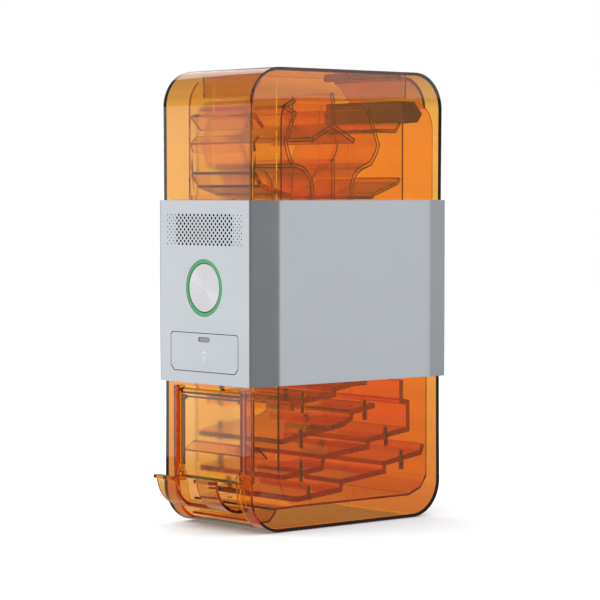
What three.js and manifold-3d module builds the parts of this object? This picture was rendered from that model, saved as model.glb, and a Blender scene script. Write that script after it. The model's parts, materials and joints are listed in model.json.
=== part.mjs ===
// Battery charging, sorting and storage station: an aluminium band with the electronics and the feed
// drum, an amber loading hopper above it and an amber storage bin with a fold-out tray below it.
// Millimetres, +Z up, the front faces -Y. The origin is the centre of the underside pad.
import * as THREE from "three";
import { mergeVertices } from "three/addons/utils/BufferGeometryUtils.js";
import Module from "manifold-3d";

const wasm = await Module();
wasm.setup();

// ---- driving dimensions -------------------------------------------------------------------------
const GAP = 0.3; // clearance between neighbouring pieces
const WALL = 2.5; // moulded amber walls
const SHEET = 1.8; // thin inner walls
const RAMP = 4.4; // the bin's ramps
const RIB = 4; // the hopper's ribs

const BAND = { w: 118, d: 213.6, z0: 118, z1: 266, wall: 2.4, chamfer: 1.5 };
const UPPER = { w: 112.6, d: 208.1, z0: 258, z1: 372 };
const LOWER = { w: 110.8, d: 206.3, z0: 0.6, z1: 126 };
const CORNER_R = 30; // side-view corners of both amber housings
const ARC_STEPS = 8;
const PAD = { x: 45, y: 70 }; // half sizes of the underside pad
const CATCH = { x: 12, y0: -80, y1: -67.6, z0: 361 }; // block that the lid's hook snaps onto
const HOOK = { x: 9, z0: 362, t: 2 };

const AA = { d: 14.5, l: 50.5 }; // the cell that the lanes are sized for
const LANE_X = 51.4; // half width of the lanes: two AA cells end to end

const BUTTON = { z: 195.4, r: 19.75, ringIn: 20.1, ringOut: 23, travel: 1.2 };
const BOARD = { x: 46, y: -96, t: 1.6, z0: 168, z1: 226 };
const SWITCH = { x: 6, h: 12, t: 3.5 };
const SPEAKER = { r: 9.8, z: 241.5, depth: 7.5 };
const INLET = { x: 5, z0: 138, z1: 142.4, y0: 95.5, y1: 106.4 };
const DRAWER = { x: 43, z0: 127.8, z1: 158.6, cut: 4.3, depth: 80, wall: 1.6 };
const PILL = { w: 14.6, h: 3.6, z: 153.7 };
const GRILLE = { x: 47.3, z0: 230.6, rows: 6, pitch: 4.7, slot: 1.6, meshX: 50, meshZ0: 226, meshZ1: 257 };

const OPENING = { x: 41, z0: 5, z1: 115, depth: 20 }; // front window and tray opening
const TRAY = { y: -100, z: 42, r: 23.4, t: 2.5, x: 38, lip: 29.2, notch: 14, tail: 292 };
const WINDOW = { x: 39, y0: -99.2, t: 2.3, z0: 38.8, axisY: -97.5, axisZ: 110.5, barrel: 2.4 };
const LID = { x: 46, y0: -64, t: 2.5, axisY: 63, axisZ: 369.2, barrel: 2.7 };

const DRUM = { y: -15, z: 215, r: 28, pockets: 6 };
const GEAR = { module: 1.2, drumTeeth: 55, pinionTeeth: 15, x0: 53.4, x1: 56 };
const MOTOR = { y: 25, z: 202.2, r: 12 };
const FAN = { z: 205, size: 44, r: 19.5, y0: 91, y1: 101.6, hub: 7.5, spoke: 1.4, blades: 7 };
const VENT = { slots: 7, pitch: 5, x: 16, half: 1.1 };
const FLAP = { y: -4, z: 168, reach: 16, x: 48, shaft: 2 };
const FRAME = { t: 1.5, y0: -72, y1: 88, z0: 128, z1: 250 }; // side frames of the feed
const CRADLE = { y0: 58, y1: 90, z0: 186, z1: 206, cells: [66, 82], cellZ: 208 };
const DECK = { t: 2.4, upperZ: 252, lowerZ: 122 };
const GUIDE_X = -28; // the hopper's front guide reaches from here to the right side

// ---- materials ----------------------------------------------------------------------------------
function finish(color, roughness, metalness) {
  return new THREE.MeshStandardMaterial({ color, roughness, metalness });
}
const amber = finish(0xe07820, 0.12, 0);
const darkAmber = finish(0xa8481a, 0.15, 0);
const silver = finish(0xc3cad0, 0.4, 0.7);
const brushed = finish(0xa6a8ac, 0.3, 1);
const green = finish(0x4fdc66, 0.3, 0);
const black = finish(0x26282a, 0.6, 0);
const grey = finish(0x7c8288, 0.5, 0);
const steel = finish(0xb8babd, 0.3, 1);
const brass = finish(0xc9a24a, 0.35, 1);
const rubber = finish(0x1c1c1c, 0.9, 0);
const board = finish(0x1f5a3a, 0.6, 0);

// ---- solids -------------------------------------------------------------------------------------
// A closed three.js geometry as a manifold-3d solid.
function solid(geometry) {
  const bare = geometry.clone();
  bare.deleteAttribute("normal");
  bare.deleteAttribute("uv");
  const merged = mergeVertices(bare, 1e-4);
  return new wasm.Manifold(
    new wasm.Mesh({
      numProp: 3,
      vertProperties: merged.attributes.position.array,
      triVerts: new Uint32Array(merged.index.array),
    }),
  );
}

// A manifold-3d solid as a three.js geometry.
function geometryOf(made) {
  const { vertProperties, triVerts, numProp, numVert } = made.getMesh();
  const points = new Float32Array(numVert * 3);
  for (let i = 0; i < numVert; i++) {
    points.set(vertProperties.subarray(i * numProp, i * numProp + 3), i * 3);
  }
  const geometry = new THREE.BufferGeometry();
  geometry.setAttribute("position", new THREE.BufferAttribute(points, 3));
  geometry.setIndex(new THREE.BufferAttribute(triVerts, 1));
  const faceted = geometry.toNonIndexed();
  faceted.computeVertexNormals();
  return faceted;
}

function shapeOf(points) {
  return new THREE.Shape(points.map(([a, b]) => new THREE.Vector2(a, b)));
}

function extrude(outline, length) {
  const shape = outline instanceof THREE.Shape ? outline : shapeOf(outline);
  return new THREE.ExtrudeGeometry(shape, {
    depth: length,
    bevelEnabled: false,
    curveSegments: ARC_STEPS,
  });
}

// An outline drawn in (y, z) and pushed out along x, from x0 to x1.
function alongX(outline, x0, x1) {
  const turn = new THREE.Matrix4().set(0, 0, 1, x0, 1, 0, 0, 0, 0, 1, 0, 0, 0, 0, 0, 1);
  return solid(extrude(outline, x1 - x0).applyMatrix4(turn));
}

// An outline drawn in (x, z) and pushed out along y, from y0 to y1.
function alongY(outline, y0, y1) {
  const turn = new THREE.Matrix4().set(1, 0, 0, 0, 0, 0, -1, y1, 0, 1, 0, 0, 0, 0, 0, 1);
  return solid(extrude(outline, y1 - y0).applyMatrix4(turn));
}

// An outline drawn in (x, y) and pushed out along z, from z0 to z1.
function alongZ(outline, z0, z1) {
  return solid(extrude(outline, z1 - z0).translate(0, 0, z0));
}

function box(x0, x1, y0, y1, z0, z1) {
  const block = new THREE.BoxGeometry(x1 - x0, y1 - y0, z1 - z0);
  return solid(block.translate((x0 + x1) / 2, (y0 + y1) / 2, (z0 + z1) / 2));
}

function rodX(r, y, z, x0, x1, sides = 20) {
  const rod = new THREE.CylinderGeometry(r, r, x1 - x0, sides).rotateZ(Math.PI / 2);
  return solid(rod.translate((x0 + x1) / 2, y, z));
}

function rodY(r, x, z, y0, y1, sides = 24) {
  const rod = new THREE.CylinderGeometry(r, r, y1 - y0, sides);
  return solid(rod.translate(x, (y0 + y1) / 2, z));
}

function unite(...pieces) {
  return pieces.reduce((all, piece) => all.add(piece));
}

// The outline of a strip of constant thickness along a run of points, with mitred corners.
function ribbon(points, thickness) {
  const path = points.map(([a, b]) => new THREE.Vector2(a, b));
  const side = (sign) =>
    path.map((point, i) => {
      const before = path[Math.max(i - 1, 0)];
      const after = path[Math.min(i + 1, path.length - 1)];
      const into = i === 0 ? after.clone().sub(point) : point.clone().sub(before);
      const out = i === path.length - 1 ? into : after.clone().sub(point);
      const n0 = new THREE.Vector2(-into.y, into.x).normalize();
      const n1 = new THREE.Vector2(-out.y, out.x).normalize();
      const mitre = n0.clone().add(n1).normalize();
      const reach = Math.min(thickness / 2 / mitre.dot(n1), thickness);
      return point.clone().addScaledVector(mitre, sign * reach);
    });
  return new THREE.Shape([...side(1), ...side(-1).reverse()]);
}

// A side-view outline with square corners at one end and round ones at the other.
function housingOutline(halfDepth, zSquare, zRound, radius) {
  const up = Math.sign(zRound - zSquare);
  const centre = zRound - up * radius;
  const points = [[-halfDepth, zSquare]];
  for (let i = 0; i <= ARC_STEPS; i++) {
    const a = (i / ARC_STEPS) * (Math.PI / 2);
    const y = -halfDepth + radius - radius * Math.cos(a);
    points.push([y, centre + up * radius * Math.sin(a)]);
  }
  const mirrored = points.map(([y, z]) => [-y, z]).reverse();
  return [...points, ...mirrored];
}

// Points on an arc about (y, z), angles in degrees from +Y towards +Z.
function arc(y, z, r, from, to, steps) {
  return Array.from({ length: steps + 1 }, (_, i) => {
    const a = THREE.MathUtils.degToRad(from + ((to - from) * i) / steps);
    return [y + r * Math.cos(a), z + r * Math.sin(a)];
  });
}

const station = new THREE.Group();

function add(name, made, material) {
  const mesh = new THREE.Mesh(geometryOf(made), material);
  mesh.name = name;
  station.add(mesh);
}

const SIDES = [
  ["left", -1],
  ["right", 1],
];
// A copy of a piece drawn for the +X side, on either side.
function onSide(sign, x0, x1, build) {
  return sign > 0 ? build(x0, x1) : build(-x1, -x0);
}

// ---- amber housings -----------------------------------------------------------------------------
function upperShell() {
  const half = UPPER.w / 2;
  const outer = alongX(housingOutline(UPPER.d / 2, UPPER.z0, UPPER.z1, CORNER_R), -half, half);
  const hollow = housingOutline(UPPER.d / 2 - WALL, UPPER.z0 - 1, UPPER.z1 - WALL, CORNER_R - WALL);
  const inner = alongX(hollow, -half + WALL, half - WALL);
  const backY = LID.axisY + LID.barrel + 2 * GAP;
  const hatch = box(-LID.x - GAP, LID.x + GAP, LID.y0 - GAP, backY, UPPER.z1 - 6, UPPER.z1 + 1);
  const pinSeat = rodX(1.5, LID.axisY, LID.axisZ, -LID.x - 3, LID.x + 3, 12);
  const housing = outer.subtract(inner).subtract(hatch).subtract(pinSeat);
  return housing.add(box(-CATCH.x, CATCH.x, CATCH.y0, CATCH.y1, CATCH.z0, UPPER.z1 - 2));
}

function lowerShell() {
  const half = LOWER.w / 2;
  const outer = alongX(housingOutline(LOWER.d / 2, LOWER.z1, LOWER.z0, CORNER_R), -half, half);
  const hollow = housingOutline(LOWER.d / 2 - WALL, LOWER.z1 + 1, LOWER.z0 + WALL, CORNER_R - WALL);
  const inner = alongX(hollow, -half + WALL, half - WALL);
  const front = -LOWER.d / 2 - 1;
  const mouth = box(-OPENING.x, OPENING.x, front, front + OPENING.depth, OPENING.z0, OPENING.z1);
  const pivotSeat = rodX(2.4, TRAY.y, TRAY.z, -OPENING.x - 3, OPENING.x + 3, 16);
  return outer.subtract(inner).subtract(mouth).subtract(pivotSeat);
}

function topLid() {
  const plate = box(-LID.x, LID.x, LID.y0, LID.axisY, UPPER.z1 - LID.t, UPPER.z1);
  const barrel = rodX(LID.barrel, LID.axisY, LID.axisZ, -LID.x, LID.x);
  const bore = rodX(1.5, LID.axisY, LID.axisZ, -LID.x - 1, LID.x + 1, 12);
  const y0 = LID.y0 + 1;
  const tongue = box(-HOOK.x, HOOK.x, y0, y0 + HOOK.t, HOOK.z0 + 1, UPPER.z1 - 1);
  const hook = box(-HOOK.x, HOOK.x, y0, y0 + 2 * HOOK.t, HOOK.z0, HOOK.z0 + HOOK.t);
  return unite(plate, barrel, tongue, hook).subtract(bore);
}

add("upper_shell", upperShell(), amber);
add("lower_shell", lowerShell(), amber);
add("top_lid", topLid(), amber);
add("lid_hinge_pin", rodX(1.2, LID.axisY, LID.axisZ, -LID.x - 2.5, LID.x + 2.5, 12), steel);
add("base_pad", box(-PAD.x, PAD.x, -PAD.y, PAD.y, 0, LOWER.z0 - 0.02), rubber);

// ---- the metal band and its front ---------------------------------------------------------------
function bandSleeve() {
  const x = BAND.w / 2;
  const y = BAND.d / 2;
  const c = BAND.chamfer;
  const outline = [
    [-x + c, -y],
    [x - c, -y],
    [x, -y + c],
    [x, y - c],
    [x - c, y],
    [-x + c, y],
    [-x, y - c],
    [-x, -y + c],
  ];
  const block = alongZ(outline, BAND.z0, BAND.z1);
  const [below, above] = [BAND.z0 - 1, BAND.z1 + 1];
  const hollow = box(-x + BAND.wall, x - BAND.wall, -y + BAND.wall, y - BAND.wall, below, above);
  const edge = x - BAND.wall + 2 * GAP;
  const front = box(-edge, edge, -y - 1, -y + BAND.wall + 1, below, above);
  let band = block.subtract(hollow).subtract(front);
  const back = y - BAND.wall - 1;
  for (let i = 0; i < VENT.slots; i++) {
    const z = FAN.z + (i - (VENT.slots - 1) / 2) * VENT.pitch;
    band = band.subtract(box(-VENT.x, VENT.x, back, y + 1, z - VENT.half, z + VENT.half));
  }
  return band.subtract(box(-INLET.x, INLET.x, back, y + 1, INLET.z0, INLET.z1));
}

function drawerOutline(grow) {
  const x = DRAWER.x + grow;
  const z0 = DRAWER.z0 - grow;
  const z1 = DRAWER.z1 + grow;
  const c = DRAWER.cut;
  return [
    [-x + c, z0],
    [x - c, z0],
    [x, z0 + c],
    [x, z1 - 2],
    [x - 2, z1],
    [-x + 2, z1],
    [-x, z1 - 2],
    [-x, z0 + c],
  ];
}

const PANEL_Y = -BAND.d / 2;
const PANEL_BACK = PANEL_Y + BAND.wall;

function frontPanel() {
  const x = BAND.w / 2 - BAND.wall + GAP;
  const plate = box(-x, x, PANEL_Y, PANEL_BACK, BAND.z0, BAND.z1);
  let panel = plate.subtract(rodY(BUTTON.ringOut + GAP, 0, BUTTON.z, PANEL_Y - 1, PANEL_BACK + 1, 40));
  panel = panel.subtract(alongY(drawerOutline(0.5), PANEL_Y - 1, PANEL_BACK + 1));
  for (let i = 0; i < GRILLE.rows; i++) {
    const z = GRILLE.z0 + i * GRILLE.pitch;
    const [low, high] = [z - GRILLE.slot / 2, z + GRILLE.slot / 2];
    const slot = box(-GRILLE.x, GRILLE.x, PANEL_Y - 1, PANEL_BACK + 1, low, high);
    panel = panel.subtract(slot);
  }
  return panel;
}

function lightRing() {
  const ring = rodY(BUTTON.ringOut, 0, BUTTON.z, PANEL_Y, PANEL_Y + 5, 40);
  return ring.subtract(rodY(BUTTON.ringIn, 0, BUTTON.z, PANEL_Y - 1, PANEL_Y + 6, 40));
}

add("band_sleeve", bandSleeve(), silver);
add("front_panel", frontPanel(), silver);
const { meshX, meshZ0, meshZ1 } = GRILLE;
const mesh = box(-meshX, meshX, PANEL_BACK + GAP, PANEL_BACK + GAP + 0.8, meshZ0, meshZ1);
add("grille_mesh", mesh, black);
add("light_ring", lightRing(), green);
add("start_button", rodY(BUTTON.r, 0, BUTTON.z, PANEL_Y + 0.2, PANEL_Y + 5.4, 40), brushed);

// ---- electronics --------------------------------------------------------------------------------
const circuit = box(-BOARD.x, BOARD.x, BOARD.y, BOARD.y + BOARD.t, BOARD.z0, BOARD.z1);
add("control_board", circuit, board);
const switchZ = [BUTTON.z - SWITCH.h / 2, BUTTON.z + SWITCH.h / 2];
const switchY = [BOARD.y - 0.1 - SWITCH.t, BOARD.y - 0.1];
add("button_switch", box(-SWITCH.x, SWITCH.x, ...switchY, ...switchZ), black);
const speakerY = PANEL_BACK + 5 * GAP;
add("speaker", rodY(SPEAKER.r, 0, SPEAKER.z, speakerY, speakerY + SPEAKER.depth, 24), black);
const inletX = INLET.x - 0.4;
const inlet = box(-inletX, inletX, INLET.y0, INLET.y1, INLET.z0 + GAP, INLET.z1 - GAP);
add("power_inlet", inlet, black);

// ---- reject drawer ------------------------------------------------------------------------------
function drawerFront() {
  const pill = rodY(PILL.h / 2 + GAP, 0, 0, PANEL_Y - 1, PANEL_BACK + 1, 16);
  const half = PILL.w / 2 - PILL.h / 2;
  const slot = unite(
    pill.translate(-half, 0, PILL.z),
    pill.translate(half, 0, PILL.z),
    box(-half, half, PANEL_Y - 1, PANEL_BACK + 1, PILL.z - PILL.h / 2 - GAP, PILL.z + PILL.h / 2 + GAP),
  );
  return alongY(drawerOutline(0), PANEL_Y, PANEL_BACK).subtract(slot);
}

function drawerLight() {
  const half = PILL.w / 2 - PILL.h / 2;
  const y0 = PANEL_Y + 0.5;
  const end = rodY(PILL.h / 2, 0, 0, y0, PANEL_BACK, 16);
  const bar = box(-half, half, y0, PANEL_BACK, PILL.z - PILL.h / 2, PILL.z + PILL.h / 2);
  return unite(bar, end.translate(-half, 0, PILL.z), end.translate(half, 0, PILL.z));
}

const BIN_Y0 = PANEL_BACK + GAP;
const BIN_Y1 = BIN_Y0 + DRAWER.depth;
function rejectBin() {
  const x = DRAWER.x - 2.4;
  const w = DRAWER.wall;
  const block = box(-x, x, BIN_Y0, BIN_Y1, DRAWER.z0 + 2.2, DRAWER.z1 - 1);
  const hollow = box(-x + w, x - w, BIN_Y0 + w, BIN_Y1 - w, DRAWER.z0 + 2.2 + w, DRAWER.z1);
  return block.subtract(hollow);
}

add("drawer_front", drawerFront(), silver);
add("drawer_light", drawerLight(), grey);
add("reject_bin", rejectBin(), grey);
for (const [side, sign] of SIDES) {
  const rail = onSide(sign, DRAWER.x - 2.1, DRAWER.x + 3, (a, b) => box(a, b, -100, -20, 131, 137));
  add(side + "_drawer_rail", rail, black);
}

// ---- feed drum, drive and sorting ---------------------------------------------------------------
function feedDrum() {
  let drum = rodX(DRUM.r, DRUM.y, DRUM.z, -LANE_X + 0.6, LANE_X - 0.6, 36);
  for (let i = 0; i < DRUM.pockets; i++) {
    const a = (i / DRUM.pockets) * 2 * Math.PI + Math.PI / 2;
    const y = DRUM.y + DRUM.r * Math.cos(a);
    const z = DRUM.z + DRUM.r * Math.sin(a);
    drum = drum.subtract(rodX(AA.d / 2 + 0.4, y, z, -LANE_X, LANE_X, 16));
  }
  return drum.subtract(rodX(3.3, DRUM.y, DRUM.z, -LANE_X, LANE_X, 16));
}

function gear(teeth, y, z, turn, bore) {
  const pitch = (GEAR.module * teeth) / 2;
  const points = [];
  for (let i = 0; i < teeth; i++) {
    const step = (2 * Math.PI) / teeth;
    const a = i * step + turn;
    const root = pitch - GEAR.module * 1.2;
    const tip = pitch + GEAR.module * 0.8;
    for (const [r, share] of [[root, -0.3], [tip, -0.14], [tip, 0.14], [root, 0.3]]) {
      points.push([y + r * Math.cos(a + share * step), z + r * Math.sin(a + share * step)]);
    }
  }
  const wheel = alongX(points, GEAR.x0, GEAR.x1);
  return wheel.subtract(rodX(bore, y, z, GEAR.x0 - 1, GEAR.x1 + 1, 16));
}

// The line of centres decides how the teeth are turned so that they mesh.
const LINE = Math.atan2(MOTOR.z - DRUM.z, MOTOR.y - DRUM.y);
const PINION_TURN = LINE + Math.PI + Math.PI / GEAR.pinionTeeth;
add("feed_drum", feedDrum(), grey);
add("drum_axle", rodX(3, DRUM.y, DRUM.z, -54.8, 55.8, 16), steel);
add("drum_gear", gear(GEAR.drumTeeth, DRUM.y, DRUM.z, LINE, 3.3), black);
add("motor_pinion", gear(GEAR.pinionTeeth, MOTOR.y, MOTOR.z, PINION_TURN, 1.8), brass);
const can = rodX(MOTOR.r, MOTOR.y, MOTOR.z, 16, 50.6, 24);
add("feed_motor", unite(can, rodX(1.5, MOTOR.y, MOTOR.z, 50, 55.8, 12)), steel);

function sideFrame(x0, x1) {
  const window = box(x0 - 1, x1 + 1, FRAME.y0 + 12, -26, FRAME.z0 + 32, FRAME.z0 + 48);
  let plate = box(x0, x1, FRAME.y0, FRAME.y1, FRAME.z0, FRAME.z1).subtract(window);
  for (const [r, y, z] of [
    [3.6, DRUM.y, DRUM.z],
    [FLAP.shaft + 0.4, FLAP.y, FLAP.z],
    [4, MOTOR.y, MOTOR.z],
  ]) {
    plate = plate.subtract(rodX(r, y, z, x0 - 1, x1 + 1, 16));
  }
  return plate;
}
for (const [side, sign] of SIDES) {
  add(side + "_side_frame", onSide(sign, LANE_X, LANE_X + FRAME.t, sideFrame), black);
}

const FLAP_PLATE = [
  [FLAP.y - 1, FLAP.z],
  [FLAP.y + 1, FLAP.z],
  [FLAP.y + 0.5, FLAP.z - FLAP.reach],
  [FLAP.y - 0.5, FLAP.z - FLAP.reach],
];
const flapEnd = LANE_X + FRAME.t + 0.6;
const flapShaft = rodX(FLAP.shaft, FLAP.y, FLAP.z, -flapEnd, flapEnd, 16);
add("sorting_flap", unite(alongX(FLAP_PLATE, -FLAP.x, FLAP.x), flapShaft), grey);

function chargeCradle() {
  const x = LANE_X - 2 * GAP;
  let block = box(-x, x, CRADLE.y0, CRADLE.y1, CRADLE.z0, CRADLE.z1);
  for (const y of CRADLE.cells) {
    block = block.subtract(rodX(AA.d / 2 + 0.4, y, CRADLE.cellZ, -LANE_X, LANE_X, 20));
  }
  return block;
}
add("charge_cradle", chargeCradle(), black);
for (const [side, sign] of SIDES) {
  const strip = onSide(sign, LANE_X - 1.3, LANE_X - 2 * GAP, (a, b) =>
    box(a, b, CRADLE.y0 + 2, CRADLE.y1 - 2, CRADLE.z1 + GAP, CRADLE.z1 + 12),
  );
  add(side + "_contact_strip", strip, brass);
}

// ---- cooling fan --------------------------------------------------------------------------------
function fanFrame() {
  const half = FAN.size / 2;
  const block = box(-half, half, FAN.y0, FAN.y1, FAN.z - half, FAN.z + half);
  const bore = rodY(FAN.r + 0.8, 0, FAN.z, FAN.y0 - 1, FAN.y1 - FAN.spoke, 32);
  const outlet = rodY(FAN.r + 0.8, 0, FAN.z, FAN.y1 - 3, FAN.y1 + 1, 32);
  const spokeY = [FAN.y1 - FAN.spoke, FAN.y1];
  const spokes = unite(
    box(-half + 1, half - 1, ...spokeY, FAN.z - 1, FAN.z + 1),
    box(-1, 1, ...spokeY, FAN.z - half + 1, FAN.z + half - 1),
    rodY(FAN.hub - 0.5, 0, FAN.z, ...spokeY),
  );
  return unite(block.subtract(bore).subtract(outlet), spokes);
}

function fanRotor() {
  let rotor = rodY(FAN.hub, 0, FAN.z, FAN.y0 + 1, FAN.y1 - FAN.spoke - 0.8, 20);
  const root = FAN.hub - 1;
  const reach = FAN.r + 0.5 - root;
  for (let i = 0; i < FAN.blades; i++) {
    const blade = new THREE.BoxGeometry(1.2, 6.4, reach);
    blade.rotateZ(0.62);
    blade.translate(0, 0, root + reach / 2);
    blade.rotateY((i / FAN.blades) * 2 * Math.PI);
    blade.translate(0, (FAN.y0 + FAN.y1 - 1.2) / 2, FAN.z);
    rotor = rotor.add(solid(blade));
  }
  return rotor;
}
add("fan_frame", fanFrame(), black);
add("fan_rotor", fanRotor(), black);

// ---- decks that carry the two housings ------------------------------------------------------------
// A plate inside a housing, with a slot from y0 to y1 that the cells drop through.
function deck(housing, z, y0, y1) {
  const x = housing.w / 2 - WALL - GAP;
  const y = housing.d / 2 - WALL - 0.5;
  const slot = box(-LANE_X + 1.4, LANE_X - 1.4, y0, y1, z - 1, z + DECK.t + 1);
  return box(-x, x, -y, y, z, z + DECK.t).subtract(slot);
}
add("upper_deck", deck(UPPER, DECK.upperZ, -35.2, 2.9), black);
add("lower_deck", deck(LOWER, DECK.lowerZ, -16, 26), black);

// ---- hopper ---------------------------------------------------------------------------------------
const HOPPER_Z0 = 255;
const HOPPER_SIDE = [
  [-71, HOPPER_Z0],
  [95.3, HOPPER_Z0],
  ...arc(73.3, 326, 22, 0, 90, 6),
  ...arc(-53, 330, 18, 90, 180, 6),
];
// The centre lines and thicknesses of the ribs, in side view.
const LANE_R = 20; // each lane's mouth is a quarter circle
const HOPPER_RIBS = {
  front_funnel: [
    RIB,
    [-55.5, 346],
    [-66.5, 340.6],
    [-56, 335.7],
    [-66, 312.7],
    [-61.3, 299],
    ...arc(-57.2, 273.9, LANE_R, 92, 0, 7),
    [-37.2, HOPPER_Z0],
  ],
  rear_funnel: [
    RIB,
    [23.4, 340.3],
    [24.3, 335.9],
    [34.6, 311.6],
    [32.4, 305.2],
    [26.2, 296.2],
    ...arc(24.9, 274.5, LANE_R, 103, 180, 6),
    [4.9, HOPPER_Z0],
  ],
  lower_divider: [
    RIB,
    [-15.2, 299.2],
    [-15.2, HOPPER_Z0],
  ],
  rear_shelf: [
    3,
    [34.8, 323.2],
    [53.4, 322.9],
    [58.8, 329.6],
  ],
  rear_ramp: [
    3.2,
    [58.8, 284.2],
    [56, 280],
    [29.9, 270.7],
    [26.8, 267.8],
  ],
};
for (const [side, sign] of SIDES) {
  const plate = onSide(sign, LANE_X + GAP, LANE_X + GAP + SHEET, (a, b) => alongX(HOPPER_SIDE, a, b));
  add("hopper_" + side + "_side", plate, amber);
}
for (const [name, [thickness, ...points]] of Object.entries(HOPPER_RIBS)) {
  add(name, alongX(ribbon(points, thickness), -LANE_X, LANE_X), darkAmber);
}
const RIDGE = { y: -15.2, z: 326.4, top: 353 };
const ridge = ribbon([[-37.5, 314.8], [RIDGE.y, RIDGE.z], [8.4, 313.8]], RIB);
const post = box(-LANE_X, LANE_X, RIDGE.y - RIB / 2, RIDGE.y + RIB / 2, RIDGE.z - 2, RIDGE.top);
add("upper_divider", unite(alongX(ridge, -LANE_X, LANE_X), post), darkAmber);

// Two end plates behind the front wall, with a deflector, a catch rib and a ramp between them.
const GUIDE_RIBS = [
  [3.8, [-97.6, 334.3], [-87.4, 323.5]],
  [2.6, [-91.8, 317], [-97.3, 311.5], [-95.8, 304.8]],
  [RIB, [-97, 287.8], [-89.6, 278], [-72.1, 272.5], [-57.7, 269.3]],
];
const GUIDE = { t: 2.4, back: -74, foot: 270, footX: 27, r: 24.6 };
const GUIDE_END = [
  [GUIDE.back, HOPPER_Z0],
  [GUIDE.back, UPPER.z1 - CORNER_R + GUIDE.r * Math.sin(THREE.MathUtils.degToRad(50))],
  ...arc(-UPPER.d / 2 + CORNER_R, UPPER.z1 - CORNER_R, GUIDE.r, 130, 180, 4),
  [-UPPER.d / 2 + CORNER_R - GUIDE.r, HOPPER_Z0],
];
function frontGuide() {
  const front = -UPPER.d / 2 + CORNER_R - GUIDE.r;
  const ends = [GUIDE_X, LANE_X - GUIDE.t].map((x) => alongX(GUIDE_END, x, x + GUIDE.t));
  const ribs = GUIDE_RIBS.map(([thickness, ...points]) =>
    alongX(ribbon(points, thickness), GUIDE_X + 1, LANE_X - 1),
  );
  const foot = box(GUIDE_X, GUIDE.footX, front, front + 4, HOPPER_Z0, GUIDE.foot);
  return unite(...ends, foot, ...ribs);
}
add("front_guide", frontGuide(), darkAmber);

const BACK_WALL = { y: 61, z1: 347.5 };
const backWall = box(-LANE_X, LANE_X, BACK_WALL.y, BACK_WALL.y + SHEET, HOPPER_Z0, BACK_WALL.z1);
add("hopper_back_wall", backWall, amber);
const GUARD = arc(67, 342.5, 25.5, 0, 75, 8);
add("rear_guard", alongX(ribbon(GUARD, 3), -LID.x, LID.x), amber);
const SENSOR = [[63.4, 329.2], [84.5, 331], [89.6, 338.4], [80, 348.3], [63.4, 348.3]];
add("level_sensor_housing", alongX(SENSOR, -LID.x, LID.x), black);

// ---- storage bin ------------------------------------------------------------------------------------
const BIN_TOP = 121.4;
const BIN_SIDE = [
  [-73, BIN_TOP],
  [-73, 42],
  [-70, 33],
  [-64, 25],
  [-56, 20.6],
  [72, 21.7],
  [84, 27],
  [89, 36],
  [89, BIN_TOP],
];
const LANES = {
  top_ramp: [[-58.4, 97], [-58, 103], [-13.5, 107.5], [-13.5, 112], [6.3, 115.4], [22.8, 116]],
  second_ramp: [[-69, 72.5], [-54, 75.7], [-4.6, 82.5], [5.5, 87.8], [5.5, 92.2], [31.4, 96.5]],
  third_ramp: [
    [-69, 43.8],
    [-26.6, 48.4],
    [-25, 57.6],
    [23.8, 62.5],
    [23.8, 68],
    [68.8, 74.5],
    [68.7, 97],
    [61.3, 98.7],
    [61.3, 116],
  ],
  bottom_ramp: [
    [-60, 26.2],
    [-52.6, 25.2],
    [-6.4, 29.5],
    [-5.4, 36],
    [42.3, 41],
    [42.3, 47.6],
    [83.4, 54],
    [86.2, 61],
  ],
};
// The clips that hold the ramps to the bin's sides: where each stands, and its ends in height.
const CLIP_HALF = 1.65;
const CLIPS = {
  top_ramp: [[-46, 94.2, 111.4]],
  second_ramp: [[-47.6, 66, 82], [21.4, 84.9, 101.5]],
  third_ramp: [[-47.6, 38.7, 55.8], [45, 61.9, 78.2]],
  bottom_ramp: [[-39.6, 23.6, 34.6], [62.7, 41.1, 57.3]],
};
for (const [side, sign] of SIDES) {
  const plate = onSide(sign, LANE_X + GAP, LANE_X + GAP + 0.9, (a, b) => alongX(BIN_SIDE, a, b));
  add("bin_" + side + "_side", plate, amber);
}
for (const [name, points] of Object.entries(LANES)) {
  let ramp = alongX(ribbon(points, RAMP), -LANE_X, LANE_X);
  for (const [y, z0, z1] of CLIPS[name]) {
    for (const [, sign] of SIDES) {
      const clip = onSide(sign, LANE_X - 3.4, LANE_X, (a, b) =>
        box(a, b, y - CLIP_HALF, y + CLIP_HALF, z0, z1),
      );
      ramp = ramp.add(clip);
    }
  }
  add(name, ramp, darkAmber);
}
const FLOOR = [[-77, 18.9], [-56, 19.4], [71.5, 19.4], [84.4, 24.4], [90.8, 33.4], [90.8, BIN_TOP]];
const BIN_X = LANE_X - 0.8; // half width of the bin's floor and front wall
add("bin_floor", alongX(ribbon(FLOOR, SHEET), -BIN_X, BIN_X), amber);
add("bin_front_wall", box(-BIN_X, BIN_X, -73, -73 + SHEET, 48.5, BIN_TOP), amber);

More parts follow.
